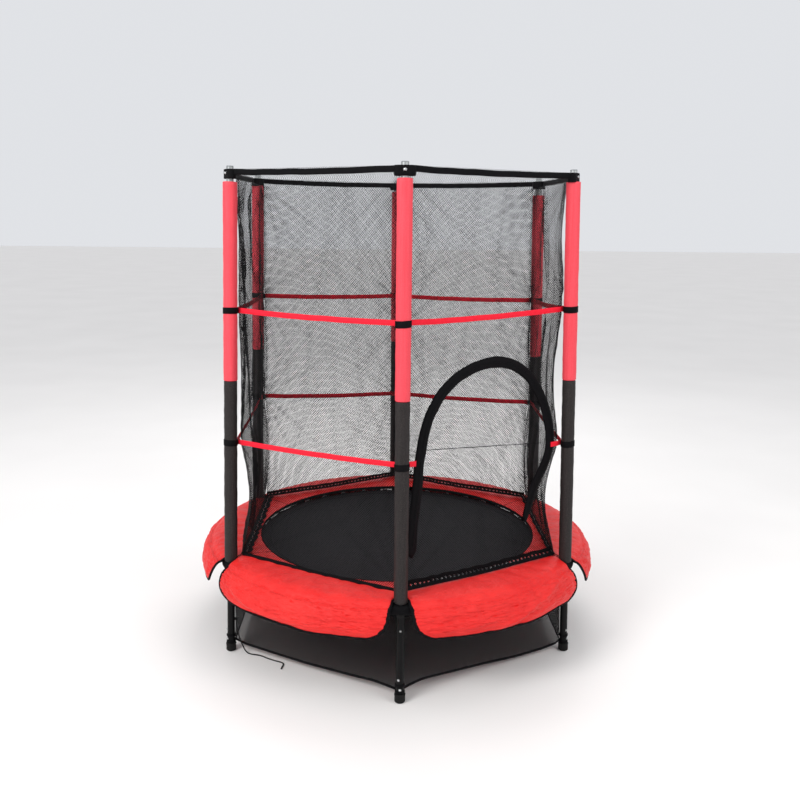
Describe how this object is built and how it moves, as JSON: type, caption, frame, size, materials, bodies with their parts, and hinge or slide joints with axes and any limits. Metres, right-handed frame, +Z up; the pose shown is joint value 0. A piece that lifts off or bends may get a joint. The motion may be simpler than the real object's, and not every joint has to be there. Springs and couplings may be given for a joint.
{
  "type": "trampoline",
  "caption": "Round trampoline on six leaning padded posts, with a sprung mat, a padded spring cover with hanging petals, a six-sided safety net with an arched door flap, and a net skirt.",
  "frame": {"origin": "on the floor, at the middle of the trampoline", "axes": "+Z up; the front post is towards -Y, and the door side is between the front post and the front right post"},
  "size_m": [1.41, 1.4044, 1.5997],
  "materials": {
    "steel_black": "satin",
    "steel_zinc": "satin",
    "spring_steel": "satin",
    "rubber_black": "matte",
    "plastic_grey": "satin",
    "foam_red": "satin",
    "foam_grey": "matte",
    "mat_black": "matte",
    "cover_red": "satin",
    "net_black": "matte",
    "webbing_red": "satin",
    "binding_black": "matte",
    "cord_black": "matte"
  },
  "bodies": {
    "frame": {"foot_cap_front": "rubber_black", "leg_front": "steel_black", "lower_pole_front": "steel_zinc", "upper_pole_front": "steel_zinc", "pole_cap_front": "plastic_grey", "red_foam_front": "foam_red", "grey_foam_front": "foam_grey", "foot_cap_front_right": "rubber_black", "leg_front_right": "steel_black", "lower_pole_front_right": "steel_zinc", "upper_pole_front_right": "steel_zinc", "pole_cap_front_right": "plastic_grey", "red_foam_front_right": "foam_red", "grey_foam_front_right": "foam_grey", "foot_cap_back_right": "rubber_black", "leg_back_right": "steel_black", "lower_pole_back_right": "steel_zinc", "upper_pole_back_right": "steel_zinc", "pole_cap_back_right": "plastic_grey", "red_foam_back_right": "foam_red", "grey_foam_back_right": "foam_grey", "foot_cap_back": "rubber_black", "leg_back": "steel_black", "lower_pole_back": "steel_zinc", "upper_pole_back": "steel_zinc", "pole_cap_back": "plastic_grey", "red_foam_back": "foam_red", "grey_foam_back": "foam_grey", "foot_cap_back_left": "rubber_black", "leg_back_left": "steel_black", "lower_pole_back_left": "steel_zinc", "upper_pole_back_left": "steel_zinc", "pole_cap_back_left": "plastic_grey", "red_foam_back_left": "foam_red", "grey_foam_back_left": "foam_grey", "foot_cap_front_left": "rubber_black", "leg_front_left": "steel_black", "lower_pole_front_left": "steel_zinc", "upper_pole_front_left": "steel_zinc", "pole_cap_front_left": "plastic_grey", "red_foam_front_left": "foam_red", "grey_foam_front_left": "foam_grey", "rail_front_right": "steel_black", "net_panel_front_right": "net_black", "rail_right": "steel_black", "net_panel_right": "net_black", "rail_back_right": "steel_black", "net_panel_back_right": "net_black", "rail_back_left": "steel_black", "net_panel_back_left": "net_black", "rail_left": "steel_black", "net_panel_left": "net_black", "rail_front_left": "steel_black", "net_panel_front_left": "net_black", "spring_set": "spring_steel", "spring_pad": "cover_red", "skirt": "net_black", "skirt_cord": "cord_black"},
    "mat": {"jumping_mat": "mat_black"},
    "door": {"door_flap": "net_black"}
  },
  "joints": [
    {"name": "mat_bounce", "type": "slide", "parent": "frame", "child": "mat", "axis": [0, 0, 1], "range_m": [-0.15, 0.005], "stiffness_N_per_m": 3500, "deforming": ["spring_set"]},
    {"name": "door_swing", "type": "hinge", "parent": "frame", "child": "door", "pos_m": [0.2618, -0.45345, 0.455], "axis": [0.866, 0.5, 0], "range_deg": [0, 110]}
  ]
}
